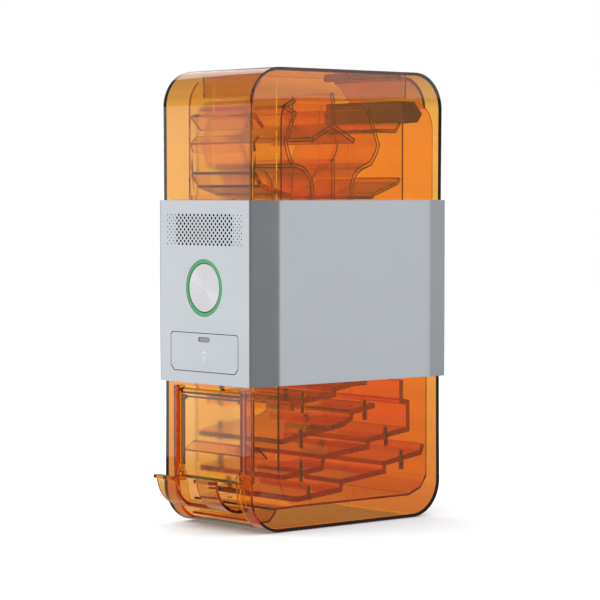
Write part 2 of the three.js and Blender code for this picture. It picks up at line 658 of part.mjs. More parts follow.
// ---- fold-out tray, window and their pivots ---------------------------------------------------------
function outletTray() {
  const { y, z, r, t, x, lip, notch, tail } = TRAY;
  const outline = [...arc(y, z, r + t, 178, tail, 18), ...arc(y, z, r, tail, 178, 18)];
  let sheet = alongX(outline, -x, x);
  sheet = sheet.add(box(-x, x, y - lip, y - r - 0.6, z - 1.4, z + 1.5));
  const mouth = box(-notch, notch, y - lip - 1, y - 9, z - r + 3.6, z + 3);
  const slot = box(-notch, notch, y - lip - 1, y - 11, 10, z + 3);
  sheet = sheet.subtract(mouth).subtract(slot);
  for (const [, sign] of SIDES) {
    const arm = onSide(sign, x - SHEET, x, (a, b) =>
      unite(
        rodX(5, y, z, a, b, 20),
        alongX([[y - 4, z - 2], [y - 1, z - r - 1], [y + 8, z - r + 0.6], [y + 4, z - 2]], a, b),
      ),
    );
    sheet = sheet.add(arm);
  }
  return sheet.subtract(rodX(2.3, y, z, -x - 1, x + 1, 16));
}

function frontWindow() {
  const { x, y0, t, z0, axisY, axisZ, barrel } = WINDOW;
  const plate = box(-x, x, y0, y0 + t, z0, axisZ);
  const foot = box(-x, x, y0, y0 + 4, z0, z0 + 2.6);
  const brow = box(-x, x, y0, y0 + 3.6, axisZ - 5.4, axisZ - 3);
  const knuckle = rodX(barrel, axisY, axisZ, -x, x, 16);
  // The arms of the tray turn beside the foot of the window, so its lower corners are cut away.
  const clear = (sign) =>
    onSide(sign, TRAY.x - SHEET - 0.6, x + 1, (a, b) => box(a, b, y0 - 1, y0 + 6, z0 - 1, TRAY.z + 6));
  const stubs = rodX(1, axisY, axisZ, -OPENING.x - 4.4, OPENING.x + 4.4, 12);
  return unite(plate, foot, brow, knuckle, stubs).subtract(clear(1)).subtract(clear(-1));
}

add("outlet_tray", outletTray(), amber);
add("front_window", frontWindow(), amber);
for (const [side, sign] of SIDES) {
  const pivot = onSide(sign, TRAY.x - SHEET, 43.6, (a, b) => rodX(2, TRAY.y, TRAY.z, a, b, 16));
  const rail = onSide(sign, OPENING.x + 0.4, OPENING.x + 5, (a, b) =>
    box(a, b, -100.4, -93, 36, 114.5).subtract(
      rodX(1.3, WINDOW.axisY, WINDOW.axisZ, a - 1, b + 1, 12),
    ),
  );
  add(side + "_window_rail", rail.add(pivot), amber);
}
const CHUTE = [[-94, 61], [-84.5, 67.6], [-74.8, 58.5]];
add("outlet_guide", alongX(ribbon(CHUTE, 1.6), -40, 40), amber);
const SHROUD = [[-84, 8.2], [-76, 8.6], [-69, 16.6]];
add("outlet_shroud", alongX(ribbon(SHROUD, SHEET), -44, 44), amber);

export default station;
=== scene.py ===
"""Looks of the battery charging and storage station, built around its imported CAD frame.

Sizes are in millimetres in the CAD's own frame (+Z up, the front faces -Y) until mm() turns them
into metres.
"""

import json
import math

import bmesh
import bpy
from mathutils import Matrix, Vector


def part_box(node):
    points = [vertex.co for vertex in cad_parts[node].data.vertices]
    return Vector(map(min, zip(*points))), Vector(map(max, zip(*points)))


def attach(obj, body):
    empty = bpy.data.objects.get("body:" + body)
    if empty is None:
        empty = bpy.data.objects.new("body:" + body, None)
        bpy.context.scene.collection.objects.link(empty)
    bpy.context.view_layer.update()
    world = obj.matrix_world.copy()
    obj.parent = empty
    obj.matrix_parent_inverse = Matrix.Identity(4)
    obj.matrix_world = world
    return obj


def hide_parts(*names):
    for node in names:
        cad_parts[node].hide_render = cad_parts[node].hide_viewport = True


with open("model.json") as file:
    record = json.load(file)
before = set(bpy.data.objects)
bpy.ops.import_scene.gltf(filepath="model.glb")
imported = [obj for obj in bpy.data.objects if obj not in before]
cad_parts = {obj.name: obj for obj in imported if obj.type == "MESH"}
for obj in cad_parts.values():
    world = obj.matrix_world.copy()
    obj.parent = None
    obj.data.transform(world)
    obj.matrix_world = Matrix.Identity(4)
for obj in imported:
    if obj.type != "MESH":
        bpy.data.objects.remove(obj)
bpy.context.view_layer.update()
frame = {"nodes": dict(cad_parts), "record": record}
scene = bpy.context.scene

# ---- sizes that the looks add to the frame -------------------------------------------------------
WALL = 2.5  # moulded amber walls
CORNER_R = 30.0  # side-view corners of both amber housings
EDGE_R = 1.2  # rounding between the wrap-around wall and the sides
ARC_STEPS = 20

HOLE_PITCH = 5.0  # speaker grille
HOLE_ROW = 2.35
HOLE_R = 1.1
SMALL_HOLE_R = 0.55
HOLE_ROWS = 11
HOLE_Z0 = 230.6

RING_R = (20.1, 23.0)
PILL = (14.6, 3.6)  # the drawer's status light

BAND_WALL = 2.4
BAND_HOLLOW_Z = (90, 300)  # past both ends of the band
SLOT_COUNT = 7  # air slots in the back of the band
SLOT_Z0 = 190
SLOT_PITCH = 5
SLOT_HALF = 14.9
SLOT_R = 1.1

LID_AXIS = (63, 369.2)  # y, z
LID_GAP = 0.3
LID_PLATE = 2.5
HINGE_R = 2.7

MOUTH_X = 41  # opening in the front of the lower housing
MOUTH_Z = (5, 115)

WINDOW_X = 39  # half width of the clear front
WINDOW_AXIS = (-97.5, 110.5)  # y, z
WINDOW_CUT = 3.6  # its lower corners are cut away beside the tray's arms
WINDOW_CUT_Z = 48.4
BARREL_R = 2.4

RAIL_X = 41.35  # inner edge of a window rail
RAIL_Y = -100.4  # its front face
STRIP = 0.6  # width of the dark strips on it
STRIP_Z0 = 50

RIB_SKIN = 1.2  # cored-out ribs of the hopper
RIB_WEB = 3.0
CORED_RIBS = (
    "front_funnel", "rear_funnel", "lower_divider", "upper_divider", "rear_shelf", "rear_ramp",
)

# The pins inside the ramps' clips: place along Y, and their ends in height, just inside the clips' ends.
PINS = (
    (-46, 94.6, 111), (-47.6, 66.4, 81.6), (21.4, 85.3, 101.1), (-47.6, 39.1, 55.4),
    (45, 62.3, 77.8), (-39.6, 24, 34.2), (62.7, 41.5, 56.9),
)
PIN_X = 49.7
PIN_R = 1.15
COLLAR_R = 1.5


def mm(*values):
    return Vector(values) / 1000


def node_box(name):
    """A CAD node's lowest and highest corners, in millimetres."""
    low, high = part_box(name)
    return low * 1000, high * 1000


# ---- materials -----------------------------------------------------------------------------------
def new_material(name):
    material = bpy.data.materials.new(name)
    material.use_nodes = True
    return material, material.node_tree, material.node_tree.nodes["Principled BSDF"]


def add_node(tree, kind, **values):
    node = tree.nodes.new(kind)
    for key, value in values.items():
        if hasattr(node, key):
            setattr(node, key, value)
        else:
            node.inputs[key.replace("_", " ")].default_value = value
    return node


def noise(tree, scale, detail=4.0):
    """Noise in object space, with scale in features per metre."""
    place = add_node(tree, "ShaderNodeTexCoord")
    made = add_node(tree, "ShaderNodeTexNoise", Scale=scale, Detail=detail)
    tree.links.new(place.outputs["Object"], made.inputs["Vector"])
    return made.outputs["Fac"]


def ramp(tree, value, low, high, start=0.3, end=0.7):
    """Turns a value into a number or a colour between low and high."""
    made = add_node(tree, "ShaderNodeValToRGB")
    ends = [v if hasattr(v, "__len__") else (v, v, v) for v in (low, high)]
    for element, place, colour in zip(made.color_ramp.elements, (start, end), ends):
        element.position = place
        element.color = (*colour, 1)
    tree.links.new(value, made.inputs["Fac"])
    return made.outputs["Color"]


def bump(tree, shader, height, strength, distance):
    made = add_node(tree, "ShaderNodeBump", Strength=strength, Distance=distance)
    tree.links.new(height, made.inputs["Height"])
    tree.links.new(made.outputs["Normal"], shader.inputs["Normal"])


HAZE = 0.13  # roughness that a moulded texture adds
HAZE_REACH = 0.0004  # metres either side of the textured face


def textured_face(tree, roughness, y):
    """Adds haze to the roughness of the face that lies at y, in metres."""
    place = add_node(tree, "ShaderNodeTexCoord")
    split = add_node(tree, "ShaderNodeSeparateXYZ")
    near = add_node(tree, "ShaderNodeMath", operation="COMPARE")
    near.inputs[1].default_value = y
    near.inputs[2].default_value = HAZE_REACH
    haze = add_node(tree, "ShaderNodeMath", operation="MULTIPLY_ADD")
    haze.inputs[1].default_value = HAZE
    tree.links.new(place.outputs["Object"], split.inputs["Vector"])
    tree.links.new(split.outputs["Y"], near.inputs[0])
    tree.links.new(near.outputs["Value"], haze.inputs[0])
    tree.links.new(roughness, haze.inputs[2])
    return haze.outputs["Value"]


def amber(name, absorbed, roughness=(0.0, 0.04), tint=(1, 1, 1), hazy_y=None):
    """Clear coloured plastic. absorbed holds the losses per metre of red, green and blue, as exponents.

    tint darkens light at the surface, and the face at hazy_y (in metres) has a fine moulded texture.
    """
    material, tree, shader = new_material(name)
    shader.inputs["Transmission Weight"].default_value = 1
    shader.inputs["IOR"].default_value = 1.5
    smears = noise(tree, 60, 6)
    smeared = [c * k for c, k in zip(tint, (1, 0.985, 0.96))]
    tree.links.new(ramp(tree, smears, smeared, tint), shader.inputs["Base Color"])
    surface = ramp(tree, noise(tree, 900, 5), *roughness)
    if hazy_y is not None:
        surface = textured_face(tree, surface, hazy_y)
    tree.links.new(surface, shader.inputs["Roughness"])
    bump(tree, shader, noise(tree, 28, 2), 0.03, 0.001)
    volume = add_node(tree, "ShaderNodeVolumeAbsorption")
    density = max(absorbed) * 1.01
    volume.inputs["Density"].default_value = density
    volume.inputs["Color"].default_value = (*[1 - a / density for a in absorbed], 1)
    tree.links.new(volume.outputs["Volume"], tree.nodes["Material Output"].inputs["Volume"])
    return material


def metal(name, colour, roughness, grain=2600, grain_depth=0.12, tone=0.04):
    """Bead-blasted metal: fine grain in the surface and a faint cloud in the colour."""
    material, tree, shader = new_material(name)
    shader.inputs["Metallic"].default_value = 1
    dark = [c * (1 - tone) for c in colour]
    light = [c * (1 + tone) for c in colour]
    tree.links.new(ramp(tree, noise(tree, 1400, 3), dark, light), shader.inputs["Base Color"])
    spread = (roughness * 0.92, roughness * 1.08)
    tree.links.new(ramp(tree, noise(tree, 40, 4), *spread), shader.inputs["Roughness"])
    bump(tree, shader, noise(tree, grain, 2), grain_depth, 0.0002)
    return material


def spun_metal(name, colour):
    """A turned face: rings about the Y axis through the button, with a lengthwise sheen across them."""
    material, tree, shader = new_material(name)
    shader.inputs["Metallic"].default_value = 1
    shader.inputs["Anisotropic"].default_value = 0.85
    place = add_node(tree, "ShaderNodeTexCoord")
    rings = add_node(tree, "ShaderNodeTexWave", Scale=420, Distortion=0.6, Detail=2)
    rings.wave_type = "RINGS"
    rings.rings_direction = "Y"
    tree.links.new(place.outputs["Object"], rings.inputs["Vector"])
    dark = [c * 0.9 for c in colour]
    tree.links.new(ramp(tree, rings.outputs["Fac"], dark, colour, 0.1, 0.9), shader.inputs["Base Color"])
    tree.links.new(ramp(tree, noise(tree, 600, 4), 0.26, 0.34), shader.inputs["Roughness"])
    tangent = add_node(tree, "ShaderNodeTangent", direction_type="RADIAL", axis="Y")
    tree.links.new(tangent.outputs["Tangent"], shader.inputs["Tangent"])
    bump(tree, shader, rings.outputs["Fac"], 0.08, 0.00005)
    return material


def plastic(name, colour, roughness, grain=1800, grain_depth=0.3):
    """Moulded plastic with a fine spark-eroded texture."""
    material, tree, shader = new_material(name)
    dark = [c * 0.85 for c in colour]
    light = [min(1, c * 1.15) for c in colour]
    tree.links.new(ramp(tree, noise(tree, 120, 4), dark, light), shader.inputs["Base Color"])
    spread = (roughness * 0.85, min(1, roughness * 1.1))
    tree.links.new(ramp(tree, noise(tree, 300, 4), *spread), shader.inputs["Roughness"])
    bump(tree, shader, noise(tree, grain, 3), grain_depth, 0.0001)
    return material


def ring_light(name):
    """A lit green light guide, brighter in its middle than at its edges."""
    material, tree, shader = new_material(name)
    place = add_node(tree, "ShaderNodeTexCoord")
    spread = add_node(tree, "ShaderNodeVectorMath", operation="MULTIPLY")
    spread.inputs[1].default_value = (1, 0, 1)
    length = add_node(tree, "ShaderNodeVectorMath", operation="LENGTH")
    tree.links.new(place.outputs["Object"], spread.inputs[0])
    tree.links.new(spread.outputs["Vector"], length.inputs[0])
    glow = add_node(tree, "ShaderNodeValToRGB")
    inner, outer = (r / 1000 for r in RING_R)
    middle = (inner + outer) / 2
    edge = glow.color_ramp.elements
    edge[0].position = inner
    edge[0].color = (0.02, 0.16, 0.05, 1)
    edge[1].position = outer
    edge[1].color = (0.02, 0.2, 0.06, 1)
    core = glow.color_ramp.elements.new(middle)
    core.color = (0.1, 0.8, 0.2, 1)
    tree.links.new(length.outputs["Value"], glow.inputs["Fac"])
    tree.links.new(glow.outputs["Color"], shader.inputs["Base Color"])
    tree.links.new(glow.outputs["Color"], shader.inputs["Emission Color"])
    shader.inputs["Emission Strength"].default_value = 0.8
    shader.inputs["Roughness"].default_value = 0.3
    bump(tree, shader, noise(tree, 700, 2), 0.05, 0.0001)
    return material


HOUSING_LOSS = (48, 178, 520)
AMBER = amber("amber_housing", HOUSING_LOSS)
FRONT_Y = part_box("upper_shell")[0].y + WALL / 1000  # inner face of the hopper's front
HOPPER_AMBER = amber("amber_hopper", HOUSING_LOSS, hazy_y=FRONT_Y)
WINDOW_AMBER = amber("amber_window", (6, 55, 330), roughness=(0.08, 0.13))
TRAY_AMBER = amber("amber_tray", (30, 110, 420))
DEEP_AMBER = amber("amber_inner", (10, 150, 650))
PALE_AMBER = amber("amber_pale", (8, 40, 320))
PLATE_AMBER = amber("amber_plate", (10, 290, 800))
LOWER_AMBER = amber("amber_lower", (34, 182, 520))
BIN_AMBER = amber("amber_bin", (55, 310, 800))
# painted shade: this dark tint stands in for the dark outlines that the clear ribs show at their ends
RIM_SHADE_AMBER = amber("amber_rim_painted_shade", (200, 500, 900), tint=(0.12, 0.045, 0.025))
ALUMINIUM = metal("satin_aluminium", (0.43, 0.455, 0.48), 0.3)
BUTTON = spun_metal("brushed_button", (0.55, 0.55, 0.57))
RING = ring_light("ring_light")
BLACK = plastic("black_plastic", (0.018, 0.018, 0.02), 0.5)
GREY = plastic("grey_plastic", (0.12, 0.13, 0.15), 0.45)
STEEL = metal("steel", (0.55, 0.56, 0.58), 0.28, grain=1200)
BRASS = metal("brass", (0.65, 0.45, 0.18), 0.3, grain=1200)
BOARD = plastic("circuit_board", (0.012, 0.09, 0.045), 0.35, grain=500)
SMOKE = plastic("smoke_plastic", (0.11, 0.075, 0.07), 0.35)
MARK = plastic("mark_ink", (0.62, 0.64, 0.66), 0.5)
LENS = plastic("lamp_lens", (0.2, 0.21, 0.22), 0.25, grain=900, grain_depth=0.05)
RUBBER = plastic("rubber", (0.012, 0.012, 0.012), 0.85, grain=900, grain_depth=0.6)
FINISH = {
    "amber_housing": AMBER,
    "amber_inner": DEEP_AMBER,
    "satin_aluminium": ALUMINIUM,
    "brushed_button": BUTTON,
    "ring_light": RING,
    "black_plastic": BLACK,
    "grey_plastic": GREY,
    "steel": STEEL,
    "brass": BRASS,
    "circuit_board": BOARD,
    "rubber": RUBBER,
}


# ---- mesh tools ----------------------------------------------------------------------------------
def mesh_object(name, bm):
    bmesh.ops.recalc_face_normals(bm, faces=bm.faces)
    mesh = bpy.data.meshes.new(name)
    bm.to_mesh(mesh)
    bm.free()
    made = bpy.data.objects.new(name, mesh)
    scene.collection.objects.link(made)
    return made


def prism(name, outline, axis, low, high, cap_r=0.0, cap_steps=4):
    """An outline pushed out along X, Y or Z. Its points are in the other two axes, in order.

    cap_r rounds the edges of the caps.
    """
    others = [i for i in range(3) if i != "XYZ".index(axis)]
    bm = bmesh.new()
    rims = []
    for level in (low, high):
        rim = []
        for point in outline:
            place = [0.0, 0.0, 0.0]
            place["XYZ".index(axis)] = level
            place[others[0]], place[others[1]] = point
            rim.append(bm.verts.new(mm(*place)))
        rims.append(rim)
    caps = [bm.faces.new(rim) for rim in rims]
    count = len(outline)
    for i in range(count):
        j = (i + 1) % count
        bm.faces.new((rims[0][i], rims[0][j], rims[1][j], rims[1][i]))
    if cap_r:
        edges = [edge for cap in caps for edge in cap.edges]
        bmesh.ops.bevel(
            bm, geom=edges, offset=cap_r / 1000, segments=cap_steps, profile=0.5, affect="EDGES"
        )
    return mesh_object(name, bm)


def rectangle(x0, x1, y0, y1):
    return [(x0, y0), (x1, y0), (x1, y1), (x0, y1)]


def block(name, x, y, z):
    return prism(name, rectangle(*x, *y), "Z", *z)


def circle(centre, radius, steps=48, start=0.0, turn=360.0):
    """Points on an arc about a centre, counter-clockwise, angles in degrees."""
    closed = turn == 360.0
    count = steps if closed else steps + 1
    angles = [math.radians(start + turn * i / steps) for i in range(count)]
    return [(centre[0] + radius * math.cos(a), centre[1] + radius * math.sin(a)) for a in angles]


def pill(half, radius, z, steps):
    """A level slot with round ends, in (x, z). half is how far the ends' centres lie from the middle."""
    right = circle((half, z), radius, steps, -90, 180)
    return right + circle((-half, z), radius, steps, 90, 180)


def rod(name, axis, centre, radius, low, high, steps=48, cap_r=0.0):
    return prism(name, circle(centre, radius, steps), axis, low, high, cap_r)


def rounded(outline, radius, steps=5):
    """The outline with each corner turned into an arc, as large as its neighbours leave room for."""
    made = []
    count = len(outline)
    for i in range(count):
        point = Vector(outline[i])
        before = Vector(outline[i - 1]) - point
        after = Vector(outline[(i + 1) % count]) - point
        angle = before.angle(after)
        room = 0.45 * min(before.length, after.length)
        reach = min(radius / max(math.tan(angle / 2), 1e-3), room)
        if reach < 0.02 or angle > math.radians(176):
            made.append(tuple(point))
            continue
        start = point + before.normalized() * reach
        end = point + after.normalized() * reach
        for k in range(steps + 1):
            t = k / steps
            place = start * (1 - t) ** 2 + point * 2 * t * (1 - t) + end * t**2
            made.append(tuple(place))
    return made


def joined(name, pieces):
    """Several separate solids as one object."""
    bm = bmesh.new()
    for piece in pieces:
        bm.from_mesh(piece.data)
        bpy.data.objects.remove(piece)
    return mesh_object(name, bm)


def combine(target, tool, operation="DIFFERENCE"):
    """Cuts or joins with a solid, and drops the tool."""
    step = target.modifiers.new("combine", "BOOLEAN")
    step.solver = "MANIFOLD"
    step.operation = operation
    step.object = tool
    bpy.context.view_layer.update()
    depsgraph = bpy.context.evaluated_depsgraph_get()
    made = bpy.data.meshes.new_from_object(target.evaluated_get(depsgraph))
    target.modifiers.clear()
    target.data = made
    bpy.data.objects.remove(tool)
    return target


def soften(piece, width=0.25, segments=2, angle=35):
    """Smooth shading with small rounded edges, as modifiers, so that a CAD mesh stays as it is."""
    for polygon in piece.data.polygons:
        polygon.use_smooth = True
    if width:
        edge = piece.modifiers.new("edge", "BEVEL")
        edge.width = width / 1000
        edge.segments = segments
        edge.limit_method = "ANGLE"
        edge.angle_limit = math.radians(angle)
        edge.use_clamp_overlap = True
    normals = piece.modifiers.new("normals", "WEIGHTED_NORMAL")
    normals.keep_sharp = True


def finish(piece, slot, body, *nodes, material=None, width=0.25, segments=2, angle=35):
    """Gives a new piece its finish and its body, and hides the CAD nodes it stands for."""
    piece.data.materials.clear()
    piece.data.materials.append(material or FINISH[slot])
    soften(piece, width, segments, angle)
    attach(piece, body)
    if nodes:
        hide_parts(*nodes)
    return piece


# ---- camera, light and floor -----------------------------------------------------------------------
CAMERA_AT = (1.5726, -1.3623, 0.2713)  # metres
CAMERA_TURN = 49.195  # degrees round from the front
CAMERA_DROP = 2.435  # degrees below level


def make_camera():
    data = bpy.data.cameras.new("camera")
    data.lens = 150
    data.sensor_width = 36
    data.clip_end = 30
    camera = bpy.data.objects.new("camera", data)
    scene.collection.objects.link(camera)
    camera.location = CAMERA_AT
    camera.rotation_euler = (math.radians(90 - CAMERA_DROP), 0, math.radians(CAMERA_TURN))
    scene.camera = camera


SKY = (  # degrees above level, and colour
    (-7.5, (0.8, 0.5, 0.36)),
    (-2.5, (1.25, 1.22, 1.2)),
    (1.9, (1.25, 1.25, 1.25)),
    (2.7, (0.85, 0.83, 0.8)),
    (12.0, (0.6, 0.55, 0.5)),
)


def make_world(seen=1.0, mirrored=0.35):
    """White all round. Polished surfaces mirror it more dimly, and clear ones show SKY through them."""
    world = bpy.data.worlds.new("studio")
    scene.world = world
    world.use_nodes = True
    tree = world.node_tree
    background = tree.nodes["Background"]
    direction = add_node(tree, "ShaderNodeTexCoord")
    split = add_node(tree, "ShaderNodeSeparateXYZ")
    height = add_node(tree, "ShaderNodeMapRange")
    height.inputs["From Min"].default_value = -1
    sky = add_node(tree, "ShaderNodeValToRGB")
    stops = sky.color_ramp.elements
    while len(stops) < len(SKY):
        stops.new(0.5)
    for stop, (angle, colour) in zip(stops, SKY):
        stop.position = (1 + math.sin(math.radians(angle))) / 2
        stop.color = (*colour, 1)
    tree.links.new(direction.outputs["Generated"], split.inputs["Vector"])
    tree.links.new(split.outputs["Z"], height.inputs["Value"])
    tree.links.new(height.outputs["Result"], sky.inputs["Fac"])
    rays = tree.nodes.new("ShaderNodeLightPath")
    reflected = add_node(tree, "ShaderNodeMapRange", To_Min=seen, To_Max=mirrored)
    refracted = add_node(tree, "ShaderNodeMix", data_type="RGBA")
    tree.links.new(rays.outputs["Is Glossy Ray"], reflected.inputs["Value"])
    tree.links.new(rays.outputs["Is Transmission Ray"], refracted.inputs[0])
    tree.links.new(reflected.outputs["Result"], refracted.inputs[6])
    tree.links.new(sky.outputs["Color"], refracted.inputs[7])
    tree.links.new(refracted.outputs[2], background.inputs["Color"])


def area_light(name, place, target, size, power):
    data = bpy.data.lights.new(name, "AREA")
    data.shape = "RECTANGLE"
    data.size, data.size_y = size
    data.energy = power
    light = bpy.data.objects.new(name, data)
    scene.collection.objects.link(light)
    light.location = place
    direction = Vector(target) - Vector(place)
    light.rotation_euler = direction.to_track_quat("-Z", "Y").to_euler()
    light.visible_camera = False
    light.visible_transmission = False
    return light


def card(name, corners, level, tint=(1, 1, 1)):
    """A studio card that only shows in reflections."""
    material = bpy.data.materials.new(name)
    material.use_nodes = True
    tree = material.node_tree
    tree.nodes.clear()
    glow = tree.nodes.new("ShaderNodeEmission")
    glow.inputs["Color"].default_value = (*tint, 1)
    glow.inputs["Strength"].default_value = level
    output = tree.nodes.new("ShaderNodeOutputMaterial")
    tree.links.new(glow.outputs["Emission"], output.inputs["Surface"])
    bm = bmesh.new()
    bm.faces.new([bm.verts.new(mm(*corner)) for corner in corners])
    made = mesh_object(name, bm)
    made.data.materials.append(material)
    made.visible_camera = False
    made.visible_diffuse = False
    made.visible_transmission = False
    made.visible_volume_scatter = False
    made.visible_shadow = False
    return made


def upright_card(name, centre, along, half_width, z, level, tint=(1, 1, 1)):
    """A card that stands upright; along is its level direction."""
    step = Vector((*along, 0)).normalized() * half_width
    middle = Vector((*centre, 0))
    ends = [middle - step, middle + step]
    corners = [(e.x, e.y, height) for e, height in zip(ends + ends[::-1], (z[0], z[0], z[1], z[1]))]
    return card(name, corners, level, tint)


TO_FRONT_BOX = Vector((-0.757, -0.653))  # where the front mirrors the camera to
TO_SIDE_BOX = Vector((0.757, 0.653))  # where the right side does


# The band's right side mirrors near cards: dark at the front, bright, and less bright at the back.
BAND_CARDS = (  # where each ends along Y, and its brightness
    ("strip_card", -74.5, 0.33),
    ("side_card", 91, 0.96),
    ("rear_card", 115, 0.62),
)
CARD_GAP = 3


def make_lights():
    area_light("key", (-0.9, -1.6, 1.7), (0, 0, 0.2), (1.4, 1.0), 14)
    area_light("back", (0.6, 1.8, 1.4), (0, 0, 0.2), (1.6, 1.2), 10)
    area_light("left", (-1.8, 0.4, 0.9), (0, 0, 0.2), (1.4, 1.4), 8)
    # The front mirrors a softbox that ends just under the top of the hopper.
    centre = Vector((0, -104)) + TO_FRONT_BOX * 500
    along = (-0.653, 0.757)
    upright_card("front_softbox", centre, along, 330, (6, 369), 1.45)
    # The clear right side mirrors a high panel.
    centre = Vector((56, 0)) + TO_SIDE_BOX * 1000
    upright_card("side_panel", centre, along, 700, (387, 900), 1.7, (0.95, 0.97, 1))
    low, high = node_box("band_sleeve")
    x = high.x + CARD_GAP
    z0, z1 = low.z - 1, high.z + 1
    y0 = low.y - 2
    for name, y1, level in BAND_CARDS:
        card(name, [(x, y0, z0), (x, y1, z0), (x, y1, z1), (x, y0, z1)], level)
        y0 = y1


def make_floor():
    bm = bmesh.new()
    bmesh.ops.create_grid(bm, x_segments=8, y_segments=8, size=4)
    floor = mesh_object("floor", bm)
    material, tree, shader = new_material("floor")
    tree.links.new(ramp(tree, noise(tree, 3, 3), 0.93, 0.95), shader.inputs["Base Color"])
    shader.inputs["Roughness"].default_value = 0.9
    shader.inputs["Specular IOR Level"].default_value = 0.1
    shader.inputs["Emission Color"].default_value = (1, 1, 1, 1)
    shader.inputs["Emission Strength"].default_value = 0.12
    floor.data.materials.append(material)
    floor.visible_transmission = False
    floor.visible_glossy = False


# ---- amber housings ----------------------------------------------------------------------------------
def side_profile(low, high, inset, square_end):
    """The housing's side view in (y, z): round corners at one end, and square ones at the other."""
    y0, y1 = low.y + inset, high.y - inset
    radius = CORNER_R - inset
    if square_end == "bottom":
        z0, z1 = low.z - (1 if inset else 0), high.z - inset
        first = circle((y1 - radius, z1 - radius), radius, ARC_STEPS, 0, 90)
        second = circle((y0 + radius, z1 - radius), radius, ARC_STEPS, 90, 90)
        return [(y0, z0), (y1, z0), *first, *second]
    z0, z1 = low.z + inset, high.z + (1 if inset else 0)
    first = circle((y0 + radius, z0 + radius), radius, ARC_STEPS, 180, 90)
    second = circle((y1 - radius, z0 + radius), radius, ARC_STEPS, 270, 90)
    return [(y1, z1), (y0, z1), *first, *second]


def housing(name, node, square_end):
    """A hollow housing with rounded edges outside and inside."""
    low, high = node_box(node)
    outer = side_profile(low, high, 0, square_end)
    inner = side_profile(low, high, WALL, square_end)
    shell = prism(name, outer, "X", low.x, high.x, cap_r=EDGE_R)
    hollow = prism("hollow", inner, "X", low.x + WALL, high.x - WALL, cap_r=0.8)
    return combine(shell, hollow)


def upper_housing():
    top = node_box("upper_shell")[1].z
    lid_low, lid_high = node_box("top_lid")
    shell = housing("upper_housing", "upper_shell", "bottom")
    x = (lid_low.x - LID_GAP, lid_high.x + LID_GAP)
    back = lid_high.y + 2 * LID_GAP
    through = (top - 6, top + 2)
    hatch = rounded(rectangle(*x, lid_low.y - LID_GAP, back), 3)
    combine(shell, prism("hatch", hatch, "Z", *through))
    # The hatch's back corners are square, so that the standing lid clears them.
    combine(shell, block("hinge_room", x, (lid_high.y - 8, back), through))
    finish(shell, "amber_housing", "housing", "upper_shell", material=HOPPER_AMBER)


def lower_housing():
    shell = housing("lower_housing", "lower_shell", "top")
    front = node_box("lower_shell")[0].y
    mouth = rounded(rectangle(-MOUTH_X, MOUTH_X, *MOUTH_Z), 2.5)
    combine(shell, prism("mouth", mouth, "Y", front - 5, front + 19))
    finish(shell, "amber_housing", "housing", "lower_shell", material=LOWER_AMBER)


def loading_lid():
    low, high = node_box("top_lid")
    plate = rounded(rectangle(low.x, high.x, low.y, high.y - HINGE_R), 2.5)
    lid = prism("loading_lid", plate, "Z", high.z - LID_PLATE, high.z)
    combine(lid, rod("barrel", "X", LID_AXIS, HINGE_R, low.x, high.x, 32), "UNION")
    finish(lid, "amber_housing", "lid", "top_lid")


def window_pane():
    """The clear front, with its hinge barrel."""
    low = node_box("front_window")[0]
    inner = WINDOW_X - WINDOW_CUT
    outline = [
        (-WINDOW_X, WINDOW_AXIS[1]), (-WINDOW_X, WINDOW_CUT_Z), (-inner, WINDOW_CUT_Z), (-inner, low.z),
        (inner, low.z), (inner, WINDOW_CUT_Z), (WINDOW_X, WINDOW_CUT_Z), (WINDOW_X, WINDOW_AXIS[1]),
    ]
    pane = prism("window_pane", outline, "Y", low.y + 0.2, low.y + 2.3)
    combine(pane, rod("barrel", "X", WINDOW_AXIS, BARREL_R, -WINDOW_X, WINDOW_X, 24), "UNION")
    finish(pane, "amber_housing", "window", "front_window", material=WINDOW_AMBER)


def window_frame():
    """Dark trim behind the clear front: jambs, corner brackets, hinge stubs, and a bar at each end."""
    low = node_box("front_window")[0]
    back = low.y + 2.35
    edge = WINDOW_X - 0.15
    parts = []
    for sign in (-1, 1):
        jamb = sorted((sign * edge, sign * (WINDOW_X - 2.4)))
        parts.append(block("jamb", jamb, (back, low.y + 3.9), (49.5, 107)))
        bracket = sorted((sign * edge, sign * (WINDOW_X - 5)))
        parts.append(block("bracket", bracket, (low.y, low.y + 4.4), (103.6, 106.8)))
        stub = sorted((sign * (WINDOW_X - 1), sign * 45.2))
        parts.append(rod("stub", "X", WINDOW_AXIS, 1.0, *stub, 16))
    brow = WINDOW_X - 4.6
    parts.append(block("brow", (-brow, brow), (back, low.y + 3.5), (105, 106.4)))
    foot = WINDOW_X - WINDOW_CUT - 0.2
    parts.append(block("foot", (-foot, foot), (back, low.y + 4.0), (low.z + 0.2, low.z + 2.4)))
    trim = joined("window_frame", parts)
    finish(trim, "grey_plastic", "window", material=SMOKE, width=0.2, segments=1)


def rail_strips():
    """Dark guide strips along both edges of the window's rails."""
    high = node_box("right_window_rail")[1]
    parts = []
    for sign in (-1, 1):
        for x in (RAIL_X, high.x - STRIP + 0.05):
            edge = sorted((sign * x, sign * (x + STRIP)))
            parts.append(block("strip", edge, (RAIL_Y - 0.1, RAIL_Y + 0.9), (STRIP_Z0, high.z - 1)))
    strips = joined("rail_strips", parts)
    finish(strips, "grey_plastic", "housing", material=SMOKE, width=0)


def ramp_pins():
    """A dark pin with two small collars inside each clip."""
    for sign, side in ((-1, "left"), (1, "right")):
        x = sign * PIN_X
        parts = []
        for y, z0, z1 in PINS:
            parts.append(rod("pin", "Z", (x, y), PIN_R, z0, z1, 16, cap_r=0.3))
            middle = (z0 + z1) / 2
            for z in (middle - 3.4, middle + 2.6):
                parts.append(rod("collar", "Z", (x, y), COLLAR_R, z, z + 0.8, 16))
        pins = joined("ramp_pins_" + side, parts)
        finish(pins, "black_plastic", "housing", material=SMOKE, width=0)


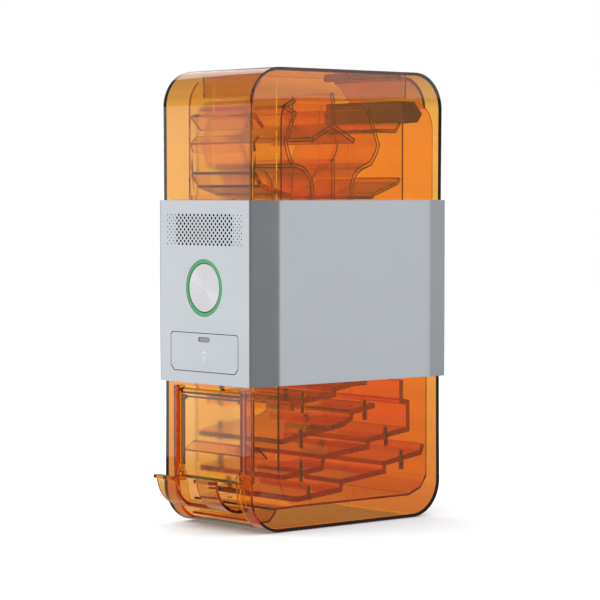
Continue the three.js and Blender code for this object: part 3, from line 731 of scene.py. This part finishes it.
# ---- band and front ----------------------------------------------------------------------------------
def band_wrap():
    low, high = node_box("band_sleeve")
    chamfer = 1.5
    corners = [(low.x, low.y), (high.x, low.y), (high.x, high.y), (low.x, high.y)]
    outline = []
    for i, corner in enumerate(corners):
        point = Vector(corner)
        for other in (corners[i - 1], corners[(i + 1) % 4]):
            outline.append(tuple(point + (Vector(other) - point).normalized() * chamfer))
    band = prism("band_wrap", outline, "Z", low.z, high.z)
    inside = (low.x + BAND_WALL, high.x - BAND_WALL)
    combine(band, block("hollow", inside, (low.y - 5, high.y - BAND_WALL), BAND_HOLLOW_Z))
    for sign in (-1, 1):
        x = sorted((sign * (high.x - 1.8), sign * (high.x - BAND_WALL - 2)))
        combine(band, block("front_seat", x, (low.y - 5, low.y + BAND_WALL + 0.6), BAND_HOLLOW_Z))
    slots = []
    for i in range(SLOT_COUNT):
        outline = pill(SLOT_HALF, SLOT_R, SLOT_Z0 + SLOT_PITCH * i, 8)
        slots.append(prism("slot", outline, "Y", high.y - BAND_WALL - 2, high.y + 2))
    combine(band, joined("slots", slots))
    inlet_low, inlet_high = node_box("power_inlet")
    hole = block("inlet", (inlet_low.x - 0.4, inlet_high.x + 0.4), (high.y - 5, high.y + 2), (138, 142.4))
    combine(band, hole)
    finish(band, "satin_aluminium", "housing", "band_sleeve", width=0.35)


def grille_holes(y0, y1):
    """Rows of round holes, small ones towards the sides."""
    holes = []
    for row in range(HOLE_ROWS):
        offset = row % 2
        count = 19 if offset else 20
        for i in range(count):
            x = (i - (count - 1) / 2) * HOLE_PITCH
            edge = min(i, count - 1 - i)
            radius = SMALL_HOLE_R if edge < 3 - offset else HOLE_R
            z = HOLE_Z0 + row * HOLE_ROW
            holes.append(prism("hole", circle((x, z), radius, 16), "Y", y0, y1))
    return joined("holes", holes)


def drawer_outline(grow):
    low, high = node_box("drawer_front")
    cut = 4.3
    x0, x1, z0, z1 = low.x - grow, high.x + grow, low.z - grow, high.z + grow
    points = [
        (x0 + cut, z0), (x1 - cut, z0), (x1, z0 + cut), (x1, z1 - 2),
        (x1 - 2, z1), (x0 + 2, z1), (x0, z1 - 2), (x0, z0 + cut),
    ]
    return rounded(points, 1.2)


def front_plate():
    low, high = node_box("front_panel")
    plate = block("front_plate", (low.x, high.x), (low.y, high.y), (low.z, high.z))
    combine(plate, grille_holes(low.y - 1, high.y + 1))
    ring_low, ring_high = node_box("light_ring")
    centre = (0, (ring_low.z + ring_high.z) / 2)
    combine(plate, rod("ring_seat", "Y", centre, RING_R[1] + 0.15, low.y - 1, high.y + 1, 96))
    combine(plate, prism("drawer_seat", drawer_outline(0.5), "Y", low.y - 1, high.y + 1))
    finish(plate, "satin_aluminium", "housing", "front_panel", width=0.12, segments=1)


def lathe(name, profile, centre, axis_y0, steps=128):
    """A profile of (radius, depth) turned about an axis along Y."""
    bm = bmesh.new()
    rings = []
    for radius, depth in profile:
        y = axis_y0 + depth
        if radius == 0:
            rings.append([bm.verts.new(mm(centre[0], y, centre[1]))])
            continue
        ring = [bm.verts.new(mm(x, y, z)) for x, z in circle(centre, radius, steps)]
        rings.append(ring)
    for first, second in zip(rings, rings[1:]):
        for i in range(steps):
            j = (i + 1) % steps
            near = [first[k % len(first)] for k in (i, j)]
            far = [second[k % len(second)] for k in (j, i)]
            bm.faces.new(list(dict.fromkeys(near + far)))
    return mesh_object(name, bm)


def start_cap():
    low, high = node_box("start_button")
    centre = (0, (low.z + high.z) / 2)
    radius = (high.z - low.z) / 2
    profile = [(0, 0)]
    grooves = 24
    for i in range(1, grooves):
        r = (radius - 1.0) * i / grooves
        profile.append((r, 0.02 * (i % 2)))
    profile += [(radius - 0.9, 0), (radius - 0.35, 0.12), (radius - 0.05, 0.45), (radius, 0.8)]
    depth = high.y - low.y
    profile += [(radius, depth - 0.3), (radius - 0.3, depth), (0, depth)]
    cap = lathe("start_cap", profile, centre, low.y)
    for vertex in cap.data.vertices:
        vertex.co.z -= centre[1] / 1000
    cap.location.z = centre[1] / 1000
    finish(cap, "brushed_button", "button", "start_button", width=0)


def status_ring():
    low, high = node_box("light_ring")
    centre = (0, (low.z + high.z) / 2)
    inner, outer = RING_R
    depth = high.y - low.y
    profile = [
        (inner, depth), (inner, 0.5), (inner + 0.25, 0.12), (inner + 0.7, 0.0),
        (outer - 0.7, 0.0), (outer - 0.25, 0.12), (outer, 0.5), (outer, depth), (inner, depth),
    ]
    ring = lathe("status_ring", profile, centre, low.y)
    for vertex in ring.data.vertices:
        vertex.co.z -= centre[1] / 1000
    ring.location.z = centre[1] / 1000
    finish(ring, "ring_light", "housing", "light_ring", width=0)


def drawer_fascia():
    low, high = node_box("drawer_front")
    fascia = prism("drawer_fascia", drawer_outline(0), "Y", low.y, high.y)
    lamp_low, lamp_high = node_box("drawer_light")
    z = (lamp_low.z + lamp_high.z) / 2
    slot = pill((PILL[0] - PILL[1]) / 2, PILL[1] / 2 + 0.15, z, 12)
    combine(fascia, prism("slot", slot, "Y", low.y - 1, high.y + 1))
    finish(fascia, "satin_aluminium", "drawer", "drawer_front", width=0.2)


def drawer_mark():
    """A plain cell symbol, a shallow inlay in the drawer's face."""
    face = node_box("drawer_front")[0].y
    y = (face - 0.02, face + 0.4)
    mark = prism("drawer_mark", rounded(rectangle(-2.1, 2.1, 135.8, 143.6), 0.7), "Y", *y)
    hollow = rounded(rectangle(-1.5, 1.5, 136.4, 143.0), 0.4)
    combine(mark, prism("hollow", hollow, "Y", face - 1, face + 1))
    parts = [mark, prism("nub", rounded(rectangle(-0.9, 0.9, 143.9, 144.8), 0.3), "Y", *y)]
    for z in (136.9, 138.9):
        parts.append(block("level", (-1.1, 1.1), y, (z, z + 1.4)))
    finish(joined("drawer_mark", parts), "grey_plastic", "drawer", material=MARK, width=0)


def drawer_lamp():
    """The status light: a lens with rounded edges in the drawer's slot."""
    low, high = node_box("drawer_light")
    outline = pill((PILL[0] - PILL[1]) / 2, PILL[1] / 2, (low.z + high.z) / 2, 16)
    lens = prism("drawer_lamp", outline, "Y", low.y, high.y, cap_r=0.35)
    finish(lens, "grey_plastic", "drawer", "drawer_light", material=LENS, width=0)


def hatch_collar():
    """The deep flange round the hatch, which the lid closes into."""
    low, high = node_box("top_lid")
    roof = node_box("upper_shell")[1].z - WALL
    wall = 1.8
    x0, x1, y0, y1 = low.x - 3.2, high.x + 3.2, low.y - 2, high.y + 1.3
    outer = rounded(rectangle(x0 - wall, x1 + wall, y0 - wall, y1 + wall), 4)
    inner = rounded(rectangle(x0, x1, y0, y1), 2.4)
    collar = prism("hatch_collar", outer, "Z", roof - 19, roof - 0.05)
    combine(collar, prism("hollow", inner, "Z", roof - 30, roof + 5))
    finish(collar, "amber_housing", "housing", width=0.2, segments=1)


# ---- ribs of the hopper --------------------------------------------------------------------------------
def hollow_ribs():
    """The hopper's ribs are cored out from both ends, with a web left in the middle and dark rims. The rims
    are painted shade: a dark tint on the ribs' ends stands in for the dark outlines that clear ribs show.
    """
    for name in CORED_RIBS:
        end = node_box(name)[1].x
        bm = bmesh.new()
        bm.from_mesh(frame["nodes"][name].data)
        bmesh.ops.remove_doubles(bm, verts=bm.verts, dist=1e-5)
        bmesh.ops.dissolve_limit(bm, angle_limit=math.radians(0.5), verts=bm.verts, edges=bm.edges)
        depth = end - RIB_WEB / 2
        caps = [f for f in bm.faces if abs(f.normal.x) > 0.99]
        bmesh.ops.inset_individual(bm, faces=caps, thickness=RIB_SKIN / 1000, use_even_offset=True)
        for cap in caps:
            sign = math.copysign(1, cap.normal.x)
            made = bmesh.ops.extrude_discrete_faces(bm, faces=[cap])
            verts = [v for f in made["faces"] for v in f.verts]
            bmesh.ops.translate(bm, verts=verts, vec=mm(-sign * depth, 0, 0))
        rib = mesh_object(name + "_rib", bm)
        finish(rib, "amber_inner", "housing", name, width=0.2, segments=1)
        # the ribs' end faces get the dark rim tint, which is painted shade
        rib.data.materials.append(RIM_SHADE_AMBER)
        for polygon in rib.data.polygons:
            at_end = abs(abs(polygon.center.x * 1000) - end) < 0.05
            polygon.material_index = int(at_end)


# ---- CAD nodes that keep their shape -------------------------------------------------------------------
FINISH_OF_NODE = {
    "hopper_left_side": PALE_AMBER,
    "bin_left_side": PALE_AMBER,
    "hopper_back_wall": PALE_AMBER,
    "front_guide": PALE_AMBER,
    "bin_front_wall": PALE_AMBER,
    "outlet_tray": TRAY_AMBER,
    "hopper_right_side": PLATE_AMBER,
    "bin_right_side": BIN_AMBER,
}


def dress_frame_nodes():
    """Every CAD node still shown gets its finish, and small rounded edges."""
    for row in frame["record"]["subparts"]:
        piece = frame["nodes"][row["node"]]
        if piece.hide_render:
            continue
        slot = row["material_slot"]
        piece.data.materials.clear()
        piece.data.materials.append(FINISH_OF_NODE.get(row["node"], FINISH[slot]))
        bpy.context.view_layer.objects.active = piece
        if piece.data.has_custom_normals:
            bpy.ops.mesh.customdata_custom_splitnormals_clear()
        weld = piece.modifiers.new("weld", "WELD")
        weld.merge_threshold = 0.00001
        flat = piece.modifiers.new("flat", "DECIMATE")
        flat.decimate_type = "DISSOLVE"
        flat.angle_limit = math.radians(1)
        soften(piece)


# ---- the whole scene -------------------------------------------------------------------------------------
make_camera()
make_world()
make_lights()
make_floor()

upper_housing()
lower_housing()
loading_lid()
band_wrap()
front_plate()
start_cap()
status_ring()
drawer_fascia()
hatch_collar()
rail_strips()
window_pane()
window_frame()
ramp_pins()
hollow_ribs()
drawer_mark()
drawer_lamp()
dress_frame_nodes()

scene.view_settings.view_transform = "Standard"
scene.cycles.use_denoising = True
scene.cycles.max_bounces = 40
scene.cycles.transmission_bounces = 40
scene.cycles.transparent_max_bounces = 40
scene.cycles.glossy_bounces = 12
scene.cycles.diffuse_bounces = 4
